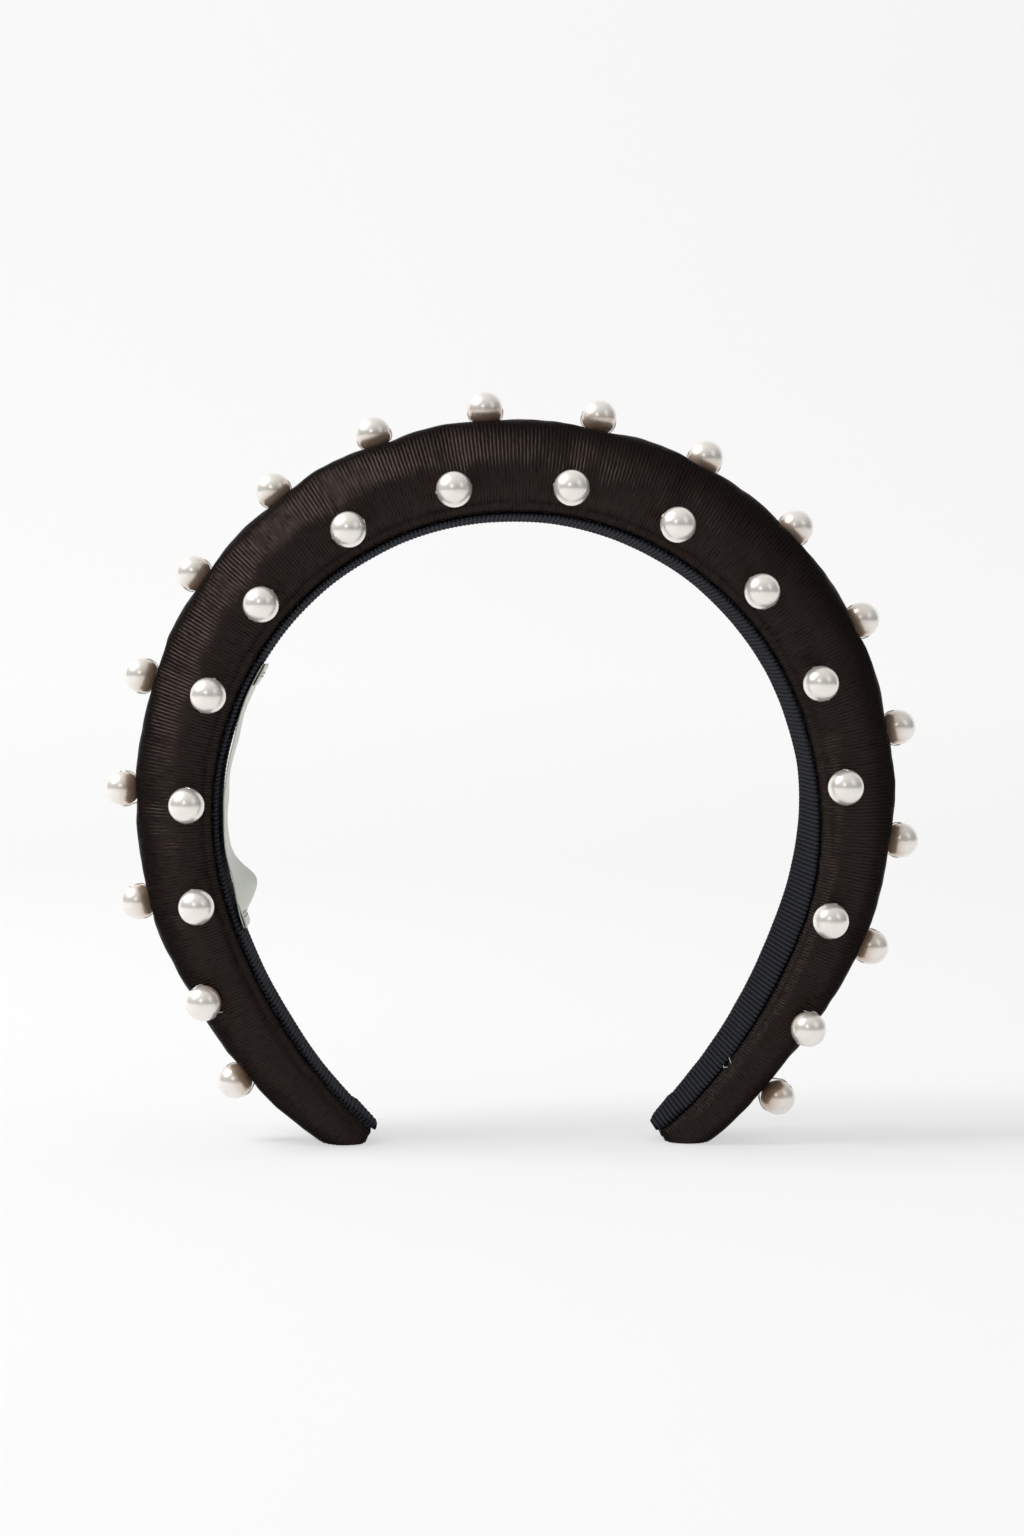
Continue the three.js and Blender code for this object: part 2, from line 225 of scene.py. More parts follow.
def grid_faces(rows, columns, wrap=False):
    """Quads between rows of points; wrap joins each row's last point to its first."""
    faces = []
    for r in range(rows - 1):
        for c in range(columns if wrap else columns - 1):
            d = (c + 1) % columns
            first, second = r * columns, (r + 1) * columns
            faces.append((first + c, second + c, second + d, first + d))
    return faces


# ---- Materials ----


class Look:
    """A node material with one Principled BSDF, and short ways to add nodes."""

    def __init__(self, name, **sockets):
        self.material = bpy.data.materials.new(name)
        self.material.use_nodes = True
        self.tree = self.material.node_tree
        self.shader = self.tree.nodes["Principled BSDF"]
        for key, value in sockets.items():
            self.shader.inputs[key.replace("_", " ")].default_value = value

    def node(self, kind, settings=None, **inputs):
        """A node with these settings; inputs are given by name, or as i0, i1 and so on by place."""
        made = self.tree.nodes.new(kind)
        for key, value in (settings or {}).items():
            setattr(made, key, value)
        for key, value in inputs.items():
            self.feed(made.inputs[int(key[1:])] if key[1:].isdigit() else made.inputs[key], value)
        return made

    def feed(self, socket, value):
        if isinstance(value, bpy.types.NodeSocket):
            self.tree.links.new(value, socket)
        else:
            socket.default_value = value

    def math(self, operation, a, b=0.0):
        return self.node("ShaderNodeMath", {"operation": operation}, i0=a, i1=b).outputs[0]

    def noise(self, vector, scale, detail=2.0):
        made = self.node("ShaderNodeTexNoise", None, Vector=vector, Scale=scale, Detail=detail)
        return made.outputs["Fac"]

    def wave(self, place, unit, pitch):
        """A sine of the given pitch in millimetres; unit is how many millimetres one unit of place is."""
        return self.math("SINE", self.math("MULTIPLY", place, FULL_TURN * unit / pitch))

    def mix(self, factor, a, b):
        made = self.node("ShaderNodeMix", {"data_type": "RGBA"})
        for index, value in ((0, factor), (6, a), (7, b)):
            self.feed(made.inputs[index], value)
        return made.outputs[2]

    def scale(self, value, low, high):
        """A value of 0 to 1 turned into one of low to high."""
        made = self.node("ShaderNodeMapRange", None, Value=value)
        made.inputs["To Min"].default_value, made.inputs["To Max"].default_value = low, high
        return made.outputs[0]

    def bump(self, height, distance, strength=1.0, normal=None):
        made = self.node("ShaderNodeBump", None, Height=height, Distance=distance, Strength=strength)
        if normal is not None:
            self.tree.links.new(normal, made.inputs["Normal"])
        return made.outputs[0]

    def set(self, socket, value):
        self.tree.links.new(value, self.shader.inputs[socket])

    def uv(self, name="weave"):
        """A UV map, and its two coordinates."""
        made = self.node("ShaderNodeUVMap", {"uv_map": name})
        split = self.node("ShaderNodeSeparateXYZ", None, Vector=made.outputs[0])
        return made.outputs[0], split.outputs[0], split.outputs[1]

    def place(self):
        return self.node("ShaderNodeTexCoord").outputs["Object"]


UV_ALONG, UV_ACROSS = 400.0, 100.0  # millimetres of cloth along and across one unit of a weave map
RIB = 1.0  # pitch of the ribbon's ribs


def satin_look():
    """Heavy satin: fine ribs across the band and long glossy floats between them. Its sheen is mostly
    metallic, so that it keeps its dark colour at the edges of the band, in front of a white backdrop."""
    rib_pitch, float_pitch, slub_size = 0.68, 0.27, (0.5, 2.4)
    look = Look("black_satin", Metallic=0.86, Anisotropic=0.45, Specular_IOR_Level=0.02,
                Specular_Tint=(0.12, 0.10, 0.09, 1))
    uv, along, across = look.uv()
    place = look.place()
    drift = look.scale(look.noise(place, 60.0, 3.0), -0.6, 0.6)
    phase = look.math("MULTIPLY", along, FULL_TURN * UV_ALONG / rib_pitch)
    rib = look.math("SINE", look.math("ADD", phase, look.math("MULTIPLY", drift, 3.0)))
    streak = look.node("ShaderNodeMapping", None, Vector=uv)
    streak.inputs["Scale"].default_value = (UV_ALONG / slub_size[0], UV_ACROSS / slub_size[1], 1)
    slub = look.noise(streak.outputs[0], 1.0)
    fine = look.wave(across, UV_ACROSS, float_pitch)
    thread = look.math("ADD", rib, look.math("MULTIPLY", fine, 0.25))
    thread = look.math("ADD", thread, look.math("MULTIPLY", slub, 3.2))
    cloud = look.noise(place, 90.0, 4.0)
    normal = look.bump(thread, 0.00006, 0.9)
    look.set("Normal", look.bump(cloud, 0.0005, 0.35, normal))
    dark, light, worn = (0.0125, 0.0093, 0.0082, 1), (0.033, 0.0252, 0.0225, 1), (0.020, 0.0152, 0.0135, 1)
    tint = look.mix(look.scale(thread, -0.3, 0.9), dark, light)
    look.set("Base Color", look.mix(look.scale(cloud, 0.0, 0.5), tint, worn))
    look.set("Roughness", look.scale(slub, 0.22, 0.44))
    tangent = look.node("ShaderNodeTangent", {"direction_type": "UV_MAP", "uv_map": "weave"})
    look.set("Tangent", tangent.outputs[0])
    return look.material


def ribbon_look():
    """Blue-black grosgrain. The ribs are in the mesh. The shader paints shade into the valleys between
    them, and adds the warp threads that wrap them."""
    look = Look("grosgrain", Roughness=0.72, Specular_IOR_Level=0.02)
    _, along, across = look.uv()
    from_middle = look.math("SUBTRACT", along, 0.5)
    # rib is 0 in the valleys and 1 on the rib tops; it masks the painted shade.
    rib = look.math("SINE", look.math("MULTIPLY", from_middle, math.pi * UV_ALONG / RIB))
    rib = look.math("POWER", look.math("ABSOLUTE", rib), 2.0)
    warp = look.wave(across, UV_ACROSS, 0.30)
    fuzz = look.noise(look.place(), 2200.0, 3.0)
    height = look.math("ADD", warp, look.math("MULTIPLY", fuzz, 1.5))
    look.set("Normal", look.bump(height, 0.00003, 0.8))
    yarn = look.mix(fuzz, (0.016, 0.0178, 0.0245, 1), (0.042, 0.0455, 0.060, 1))
    # Painted shade: near black in the valleys between the ribs, the yarn's colour on their tops.
    look.set("Base Color", look.mix(rib, (0.0015, 0.0017, 0.0028, 1), yarn))
    return look.material


def pearl_look():
    """Pearl-coated plastic: warm white with a clear coat, and a painted brown shade on its side towards its
    seat on the satin.
    """
    look = Look("faux_pearl", Roughness=0.31, Metallic=0.62, Coat_Weight=1.0, Coat_Roughness=0.11,
                Specular_IOR_Level=0.6)
    cloud = look.noise(look.place(), 420.0, 3.0)
    nacre = look.mix(cloud, (0.895, 0.85, 0.79, 1), (0.935, 0.90, 0.85, 1))
    # Painted shade and reflection: the side towards the seat is tinted brown, standing in for the dark
    # satin reflected in the pearl and the shade under it.
    _, _, above_seat = look.uv("seat")
    shade = look.node("ShaderNodeMapRange", {"interpolation_type": "SMOOTHSTEP"}, Value=above_seat)
    shade.inputs["From Min"].default_value, shade.inputs["From Max"].default_value = 0.10, 0.66
    look.set("Base Color", look.mix(shade.outputs[0], (0.74, 0.50, 0.34, 1), nacre))
    return look.material


def label_look():
    """White woven satin label, blank, with a close fine rib."""
    look = Look("label_satin", Roughness=0.42)
    _, along, _ = look.uv()
    rib = look.wave(along, UV_ALONG, 0.32)
    fuzz = look.noise(look.place(), 1500.0)
    look.set("Normal", look.bump(look.math("ADD", rib, fuzz), 0.00002, 0.7))
    look.set("Base Color", look.mix(fuzz, (0.60, 0.64, 0.55, 1), (0.76, 0.79, 0.70, 1)))
    return look.material


def thread_look(name, dark, light):
    """Twisted sewing thread."""
    look = Look(name, Roughness=0.6, Sheen_Weight=0.2)
    fuzz = look.noise(look.place(), 4000.0)
    look.set("Base Color", look.mix(fuzz, dark, light))
    look.set("Normal", look.bump(fuzz, 0.00003, 0.6))
    return look.material


def foam_look():
    """Open-cell foam, seen only where it is cut open."""
    look = Look("foam", Roughness=0.95)
    cells = look.node("ShaderNodeTexVoronoi", None, Vector=look.place(), Scale=1400.0)
    cells = cells.outputs["Distance"]
    look.set("Base Color", look.mix(cells, (0.55, 0.50, 0.40, 1), (0.74, 0.71, 0.62, 1)))
    look.set("Normal", look.bump(cells, 0.0002, 0.8))
    return look.material


def core_look():
    """Black moulded plastic with a faint grain."""
    look = Look("core_plastic", Roughness=0.42)
    grain = look.noise(look.place(), 900.0, 3.0)
    look.set("Base Color", look.mix(grain, (0.012, 0.012, 0.013, 1), (0.022, 0.022, 0.024, 1)))
    look.set("Normal", look.bump(grain, 0.00003, 0.3))
    return look.material


SATIN, RIBBON, PEARL, LABEL = satin_look(), ribbon_look(), pearl_look(), label_look()
PALE_THREAD = thread_look("pale_thread", (0.45, 0.42, 0.38, 1), (0.7, 0.67, 0.62, 1))
FOAM, CORE = foam_look(), core_look()

# ---- The pearls' places, from the CAD ----

ROWS = {"front": 14, "ridge": 16, "back": 14}


class Bead:
    """One pearl: its node, its centre, its distance along the arch, and the arch's direction there. The
    satin cover adds up, the way that the pearl stands off the cloth."""

    def __init__(self, node):
        self.node = node
        low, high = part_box(node)
        self.centre = np.array((low + high) / 2) / MM
        tries = np.linspace(-HALF_LENGTH, HALF_LENGTH, 3001)
        point, tangent, _ = arch(tries)
        off = self.centre - point
        off[:, 1] = 0
        behind = np.abs((off * tangent).sum(1)) + 0.02 * np.linalg.norm(off, axis=1)
        self.s = tries[np.argmin(behind)]
        self.tangent = arch(self.s)[1][0]
        self.body = frame["nodes"][node]["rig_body"]


beads = [Bead(f"pearl_{row}_{i:02d}") for row, n in ROWS.items() for i in range(1, n + 1)]

# ---- Riding: pieces follow their halves, or stay in place near the crown ----

BEND = 0.029  # pieces within this much of the crown's middle stay where they are, not attached to either half


def bend(obj):
    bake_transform(obj)


def flex(obj, *nodes, slot):
    """A continuous layer: it stands for both halves of its CAD nodes, which it hides, and stays where it
    is.
    """
    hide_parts(*nodes)
    bend(obj)


def flex_whole(obj, x, body):
    """A hard piece sewn to the cover keeps its shape; away from the crown's middle it rides with its half,
    and near it it stays where it is.
    """
    if abs(x) >= BEND:
        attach(obj, body)
        return
    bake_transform(obj)


# ---- The satin cover ----

RINGS, COLUMNS = 560, 112
NOSE_RINGS = 26
# How far the satin is padded off the foam at distances along the arch, as the outline in the photo shows.
PUFF = {
    -190: -0.3, -178: 0.0, -165: 0.8, -150: 1.6, -132: 1.6, -112: 1.3, -95: 1.0, -75: 1.6,
    -52: 2.0, -28: 2.2, 0: 1.5, 28: 2.2, 52: 2.3, 75: 2.0, 95: 1.4, 112: 1.5,
    132: 1.2, 148: 0.8, 157: 0.2, 163: -0.5, 170: -0.6, 180: -0.8, 190: -0.4,
}

# The cloth simulation of the cover: held round each stitch, then blown up with a little slack.
FRAMES = 20
ENLARGED = 10  # the cloth is simulated at this scale, where Blender's cloth works well
STITCH = 1.7  # millimetres round each pearl's stitch that are held
SLACK = 0.035  # share by which the cloth is larger than the shape it starts from
PRESSURE, BENDING = 6.0, 0.3
CAP = 4.0  # the furthest that a point may move, in millimetres
SWELL = 0.38  # share of the simulated swelling that is kept; the rest is even padding

PULL, PULL_REACH = 0.16, 5.0  # share of the padding that a stitch takes away, and how far it reaches
FOLD = 0.12  # height of the gathers round a stitch
DISH_REACH, DISH_GAP = 3.7, 0.22  # the hollow under a pearl: its radius and the room it leaves
SINK = 0.3  # the furthest that the satin may go below its even shape, where the foam begins


def cover_stations():
    """Distances along the arch, closer together where the tips round off."""
    body = np.linspace(-(HALF_LENGTH - TIP_ROUND), HALF_LENGTH - TIP_ROUND, RINGS)
    turn = np.linspace(0, math.pi / 2, NOSE_RINGS)[1:]
    nose = HALF_LENGTH - TIP_ROUND + TIP_ROUND * np.sin(turn)
    return np.concatenate([-nose[::-1], body, nose])


def blur(values, rows, cols):
    """Values smoothed along the first two axes by that many binomial passes."""
    for axis, passes in ((0, rows), (1, cols)):
        count = values.shape[axis]
        before, after = np.maximum(np.arange(count) - 1, 0), np.minimum(np.arange(count) + 1, count - 1)
        for _ in range(passes):
            values = (values.take(before, axis) + 2 * values + values.take(after, axis)) / 4
    return values


def inflate(base, s):
    """How far the cloth moves off base when it is blown up from inside, with a little slack, while its
    hems, its ends and every pearl's stitch hold it. One offset in millimetres for each point of base."""
    rows = np.unique(np.append(np.arange(0, len(s), 3), len(s) - 1))
    cols = np.unique(np.append(np.arange(0, base.shape[1], 2), base.shape[1] - 1))
    start = base[np.ix_(rows, cols)]
    count = (len(rows), len(cols))
    mesh = bpy.data.meshes.new("cloth")
    mesh.from_pydata(start.reshape(-1, 3) * MM * ENLARGED, [], [f[::-1] for f in grid_faces(*count)])
    cloth = bpy.data.objects.new("cloth", mesh)
    bpy.context.scene.collection.objects.link(cloth)
    held = np.zeros(count, bool)
    held[:, [0, -1]] = held[[0, -1], :] = True
    for bead in beads:
        away = np.linalg.norm(start - bead.centre, axis=2)
        foot = np.unravel_index(np.argmin(away), away.shape)
        held |= np.linalg.norm(start - start[foot], axis=2) < STITCH
    group = cloth.vertex_groups.new(name="held")
    group.add([int(i) for i in np.flatnonzero(held)], 1.0, "REPLACE")
    modifier = cloth.modifiers.new("Cloth", "CLOTH")
    settings = modifier.settings
    settings.vertex_group_mass = "held"
    settings.quality = 6
    settings.tension_stiffness = settings.compression_stiffness = 15
    settings.shear_stiffness = 5
    settings.bending_stiffness = BENDING
    settings.air_damping = 5
    settings.shrink_min = -SLACK
    settings.use_pressure = True
    settings.uniform_pressure_force = PRESSURE
    settings.effector_weights.gravity = 0
    modifier.point_cache.frame_start, modifier.point_cache.frame_end = 1, FRAMES
    for at in range(1, FRAMES + 1):
        bpy.context.scene.frame_set(at)
    shape = cloth.evaluated_get(bpy.context.evaluated_depsgraph_get()).to_mesh()
    found = np.empty(len(shape.vertices) * 3)
    shape.vertices.foreach_get("co", found)
    bpy.data.objects.remove(cloth)
    bpy.context.scene.frame_set(1)
    moved = found.reshape(*count, 3) / MM / ENLARGED - start
    far = np.linalg.norm(moved, axis=2, keepdims=True)
    moved *= np.minimum(1, CAP / np.maximum(far, 1e-6))
    # Spread over the finer grid and rounded off, as a subdivision would.
    moved = np.apply_along_axis(lambda line: np.interp(range(len(s)), rows, line), 0, moved)
    moved = np.apply_along_axis(lambda line: np.interp(range(base.shape[1]), cols, line), 1, moved)
    return blur(moved, 4, 2)


def gathers(s, base, normal):
    """What each pearl's stitch does to the satin: the share of the padding that it pulls down, the height
    of the short folds round it, and the highest that the satin may stand under the pearl."""
    rng = np.random.default_rng(11)
    pull, fold, limit = np.zeros(base.shape[:2]), np.zeros(base.shape[:2]), np.full(base.shape[:2], 99.0)
    for bead in beads:
        rows = np.abs(s - bead.s) < 24
        seat = np.linalg.norm(base[rows] - bead.centre, axis=2)
        foot = np.unravel_index(np.argmin(seat), seat.shape)
        bead.up = normal[rows][foot]
        away = base[rows] - base[rows][foot]
        angle = np.arctan2(away @ np.cross(bead.up, bead.tangent), away @ bead.tangent)
        distance = np.linalg.norm(away, axis=2)
        pull[rows] = np.maximum(pull[rows], PULL * np.exp(-((distance / PULL_REACH) ** 1.6)))
        under = np.sqrt(BEAD_RADIUS**2 - np.minimum(distance, DISH_REACH) ** 2)
        dish = np.where(distance < DISH_REACH, BEAD_RADIUS + DISH_GAP - under, 99)
        limit[rows] = np.minimum(limit[rows], dish)
        creases = sum(
            np.cos(k * angle + rng.uniform(0, FULL_TURN)) * w for k, w in ((3, 0.5), (5, 0.6), (8, 0.35))
        )
        reach = rng.uniform(5.0, 8.0)
        close = np.exp(-((distance / reach) ** 2)) * np.clip(distance / 2.5, 0, 1)
        fold[rows] += FOLD * creases * close
    return pull, fold, limit


def padding(s, base, normal, girth):
    """The cloth's simulated swelling, and how far the satin stands off it along its normal."""
    from_hem = np.minimum(girth - girth[:, :1], girth[:, -1:] - girth)
    fade = 1 - np.exp(-from_hem / 6.0)
    blown = SWELL * inflate(base, s)
    lift = (blown * normal).sum(2)
    third = girth.shape[1] // 3
    over_top = lift[:, third : -third - 1].mean(1, keepdims=True)
    ridge = np.interp(s, list(PUFF), list(PUFF.values()))[:, None] - blur(over_top, 900, 0)
    off = ridge * fade
    along = s[:, None] * np.ones_like(girth)
    calm = np.clip((HALF_LENGTH - np.abs(along)) / 12, 0, 1)
    for size, wavelength, seed, stretch in ((0.13, 26, 3, 1.0), (0.07, 9, 5, 2.6), (0.03, 3.6, 8, 4.0)):
        off = off + size * fade * calm * ripple(along, girth, wavelength, seed, stretch)
    pull, fold, limit = gathers(s, base, normal)
    off = off * (1 - pull) + fold * np.clip(from_hem / 3, 0, 1) * calm + 0.05 * pull
    # The fold over the edge of the core: a shallow crease beside a soft roll.
    for size, middle, width in ((-0.30, 2.4, 0.7), (0.16, 1.0, 0.6)):
        off = off + size * bump_at(from_hem, middle, width) * calm
    # The satin dishes under each pearl, and never sinks into the foam.
    lift = lift + off
    return blown, off + np.clip(lift, -SINK, limit) - lift


class Patches:
    """One mesh put together ring by ring: its vertices, weave coordinates and faces."""

    def __init__(self, vertices, u, v, faces):
        self.vertices, self.u, self.v, self.faces = vertices, u, v, faces

    def add_ring(self, ring, u, v):
        first = len(self.vertices)
        ring[:, 2] = np.maximum(ring[:, 2], 0.0)
        self.vertices = np.vstack([self.vertices, ring])
        self.u, self.v = np.append(self.u, u), np.append(self.v, v)
        return list(range(first, first + len(ring)))

    def join(self, near, far, turned):
        """Quads between two rings; turned ones face the other way."""
        for quad in zip(near, far, far[1:], near[1:]):
            self.faces.append(quad[::-1] if turned else quad)


def turn_in(patches, s, across, height, girth, side):
    """A turned-in edge: the satin goes on under the core, hidden by the lining."""
    rows, cols = girth.shape
    edge = 0 if side > 0 else cols - 1
    reach, level = across[:, edge], height[:, edge]
    previous = [r * cols + edge for r in range(rows)]
    for step in (1.2, 3.0, 5.5):
        inward = np.minimum(step, np.abs(reach) - 0.5)
        ring = lay(s, reach - np.sign(reach) * inward, level)
        v = girth[:, edge] / UV_ACROSS + 0.5 + side * step / UV_ACROSS
        ids = patches.add_ring(ring, s / UV_ALONG + 0.5, v)
        patches.join(previous, ids, side < 0)
        previous = ids


def close_end(patches, s, girth, side):
    """The folded end of the cover, bulged a little."""
    rows, cols = girth.shape
    row = rows - 1 if side > 0 else 0
    previous = [row * cols + c for c in range(cols)]
    ring = patches.vertices[previous]
    middle = ring.mean(axis=0)
    outward = arch(side * HALF_LENGTH)[1][0] * side
    for k, (shrink, bulge) in enumerate(((0.88, 0.35), (0.68, 0.62), (0.4, 0.55), (0.12, 0.35)), 1):
        u = np.full(cols, (s[row] + side * k) / UV_ALONG + 0.5)
        made = middle + (ring - middle) * shrink + outward * bulge
        ids = patches.add_ring(made, u, girth[row] * shrink / UV_ACROSS + 0.5)
        patches.join(previous + previous[:1], ids + ids[:1], side < 0)
        previous = ids
    patches.faces.append(tuple(previous) if side < 0 else tuple(previous[::-1]))


def satin_cover():
    """The cover. Gives back its distances along the arch, its points and their outward directions."""
    s = cover_stations()
    across, height, across_out, height_out, girth = dome(s, np.linspace(0, 1, COLUMNS))
    base = lay(s, across, height)
    normal = lay(s, across_out, height_out, bare=True)
    blown, off = padding(s, base, normal, girth)
    points = base + blown + normal * off[..., None]
    points[..., 2] = np.maximum(points[..., 2], 0.0)
    u = np.repeat(s / UV_ALONG + 0.5, COLUMNS)
    v = (girth / UV_ACROSS + 0.5).ravel()
    patches = Patches(points.reshape(-1, 3), u, v, grid_faces(*girth.shape))
    for side in (1, -1):
        turn_in(patches, s, across, height, girth, side)
    for side in (1, -1):
        close_end(patches, s, girth, side)
    made = new_object("satin_cover", patches.vertices, patches.faces, SATIN)
    add_uv(made, patches.u, patches.v)
    flex(made, "cover_left", "cover_right", slot="satin")
    return s, points, normal


cover_s, cover_points, cover_normal = satin_cover()

# ---- Foam and core, inside the cover ----


def swept(name, s, across, height, material):
    """A closed tube through outlines: across and height are each an array of s by points."""
    rows, cols = across.shape
    faces = grid_faces(rows, cols, wrap=True)
    faces += [tuple(range(cols)), tuple(range((rows - 1) * cols, rows * cols))[::-1]]
    return new_object(name, lay(s, across, height).reshape(-1, 3), faces, material)


def foam_pad():
    """The foam: the section's dome inset under the satin, down to the top of the core."""
    end = HALF_LENGTH - 1.4
    s = np.unique(np.round(np.clip(cover_stations()[::4], -end, end), 4))
    across, height = dome(s, np.linspace(0, 1, 48), inset=1.5, floor=1.8)[:2]
    made = swept("foam_pad", s, across, height, FOAM)
    for vertex in made.data.vertices:
        vertex.co.z = max(vertex.co.z, 1.1 * MM)
    flex(made, "foam_left", "foam_right", slot="foam")


def core_strip():
    """The springy core: a flat strip with rounded edges and ends."""
    end, half_thickness = HALF_LENGTH - 4.0, 0.75
    s = np.concatenate([[-end, -end + 0.3], np.linspace(-end + 1.5, end - 1.5, 300), [end - 0.3, end]])
    round_off = np.sqrt(np.clip((end - np.abs(s)) / 6, 0.02, 1))
    half = ((section(s)["face"] - 1.6) / 2 * (0.55 + 0.45 * round_off))[:, None]
    turn = np.linspace(0, FULL_TURN, 29)[:-1][None, :]
    across = half * np.sign(np.cos(turn)) * np.abs(np.cos(turn)) ** 0.25
    height = half_thickness * (1 + np.sign(np.sin(turn)) * np.abs(np.sin(turn)) ** 0.35)
    made = swept("core_strip", s, across, np.broadcast_to(height, across.shape), CORE)
    flex(made, "core_left", "core_right", slot="core")


foam_pad()
core_strip()

# ---- The grosgrain lining ----

LINING_TOP, LINING_BOTTOM = -1.1, -1.95  # heights of its hidden side and of its head side
RIB_HEIGHT = 0.20
END_FOLD = 7  # length of the layer that is folded back at each end


def grosgrain_lining():
    """The ribbed ribbon, with a slightly wandering edge, and doubled where its ends are folded back."""
    end = HALF_LENGTH + 0.9
    s = np.append(np.arange(-end, end, RIB / 6), end)
    wave = np.abs(np.sin(math.pi * s / RIB)) ** 0.8
    half = section(s)["face"] / 2
    wander = 0.18 * ripple(s, 0, 34, 21) + 0.10 * ripple(s, 0, 7, 22)
    other = 0.18 * ripple(s, 0, 30, 23) + 0.10 * ripple(s, 0, 6, 24)
    reach = half + 0.22 * wave - 0.35
    # Outline from the front edge over the head side to the back edge, and back over the hidden side.
    steps = np.array([-1, -0.97, -0.8, -0.5, -0.2, 0.2, 0.5, 0.8, 0.97, 1])
    front, back = -reach + wander, reach + other
    a_head = front[:, None] + (back - front)[:, None] * (steps[None, :] + 1) / 2
    lift = RIB_HEIGHT * wave[:, None] * (1 - np.abs(steps[None, :]) ** 12)
    sag = 0.05 * ripple(s, 0, 22, 25)[:, None]
    cup = 0.18 * (np.abs(steps[None, :]) ** 3)
    h_head = LINING_BOTTOM + 0.16 - lift + cup + sag
    h_head[:, [0, -1]] += 0.22
    h_top = np.full_like(a_head, LINING_TOP) - 0.05
    h_top[:, [0, -1]] = h_head[:, [-1, 0]] + 0.22
    # The end is folded back on itself, so it is twice as thick and ends in a rounded lip.
    fold = np.clip((end - np.abs(s)) / 0.8, 0, 1)
    thick = 0.45 * np.clip(1 - (end - np.abs(s) - END_FOLD) / 1.5, 0, 1)
    middle = (LINING_TOP + LINING_BOTTOM) / 2
    lip = np.maximum(np.sqrt(1 - (1 - fold) ** 2), 0.15)[:, None]
    across = np.concatenate([a_head, a_head[:, ::-1]], axis=1)
    height = middle + (np.concatenate([h_head - thick[:, None], h_top], axis=1) - middle) * lip
    made = swept("grosgrain_lining", s, across, height, RIBBON)
    u = np.repeat(s / UV_ALONG + 0.5, across.shape[1])
    add_uv(made, u, across.ravel() / UV_ACROSS + 0.5)
    flex(made, "lining_left", "lining_right", slot="ribbon")


grosgrain_lining()

# ---- The pearls ----


def lathe(profile, segments):
    """Vertices and faces of a profile of (radius, height), closed on itself, turned about Y."""
    verts, faces, n = [], [], len(profile)
    for k in range(segments):
        turn = FULL_TURN * k / segments
        verts += [(r * math.cos(turn), y, r * math.sin(turn)) for r, y in profile]
    for k in range(segments):
        m = (k + 1) % segments
        for i in range(n):
            j = (i + 1) % n
            faces.append((k * n + i, k * n + j, m * n + j, m * n + i))
    return verts, faces


def pearl_profile():
    """A drilled bead: a round outside, a chipped lip at each end of the hole, and the hole's wall."""
    hole, chip, depth, steps = 0.5, 0.08, 0.2, 22
    start = math.asin((hole + 0.22) / BEAD_RADIUS)
    angles = [start + (math.pi - 2 * start) * i / steps for i in range(steps + 1)]
    points = [(BEAD_RADIUS * math.sin(a), -BEAD_RADIUS * math.cos(a)) for a in angles]
    top = points[-1][1]
    wall = [(hole, (top - depth) * (1 - 2 * k / 5)) for k in range(6)]
    return points + [(hole + chip, top - 0.03)] + wall + [(hole + chip, 0.03 - top)]


def pearls():
    """One bead for each node, with its hole along the band, give or take a few degrees."""
    profile = pearl_profile()
    rng = np.random.default_rng(5)
    for bead in beads:
        verts, faces = lathe(profile, 36)
        verts = np.array(verts)
        axis = bead.tangent + rng.normal(0, 0.10, 3)
        axis /= np.linalg.norm(axis)
        spin = Vector((0, 1, 0)).rotation_difference(Vector(axis)).to_matrix()
        roll = Matrix.Rotation(rng.uniform(0, 6.28), 3, "Y")
        verts = verts * (1 + rng.normal(0, 0.003))
        verts = verts @ np.array(spin @ roll).T + bead.centre
        made = new_object("bead_" + bead.node, verts, [f[::-1] for f in faces], PEARL)
        # Height above the seat, which masks the pearl's painted brown shade.
        above_seat = ((verts - bead.centre) @ bead.up / BEAD_RADIUS + 1) / 2
        add_uv(made, np.zeros(len(verts)), above_seat, "seat")
        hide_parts(bead.node)
        flex_whole(made, bead.centre[0] * MM, bead.body)


pearls()

# ---- Threads that sew the pearls on ----


def tube(path, radius, sides=6):
    """Vertices and faces of a round thread along a path of points."""
    path = np.asarray(path, float)
    ahead = np.gradient(path, axis=0)
    ahead /= np.linalg.norm(ahead, axis=1)[:, None]
    up = np.array([0.0, 0.0, 1.0]) if abs(ahead[0][2]) < 0.9 else np.array([1.0, 0.0, 0.0])
    verts = []
    for p, d in zip(path, ahead):
        right = np.cross(d, up)
        right /= np.linalg.norm(right)
        up = np.cross(right, d)
        for k in range(sides):
            turn = FULL_TURN * k / sides
            verts.append(p + radius * (math.cos(turn) * right + math.sin(turn) * up))
    faces = grid_faces(len(path), sides, wrap=True)
    faces += [tuple(range(sides)), tuple(range((len(path) - 1) * sides, len(path) * sides))[::-1]]
    return verts, faces


def join(parts):
    """One list of vertices and one of faces out of several."""
    verts, faces = [], []
    for v, f in parts:
        first = len(verts)
        verts += list(v)
        faces += [tuple(i + first for i in face) for face in f]
    return verts, faces


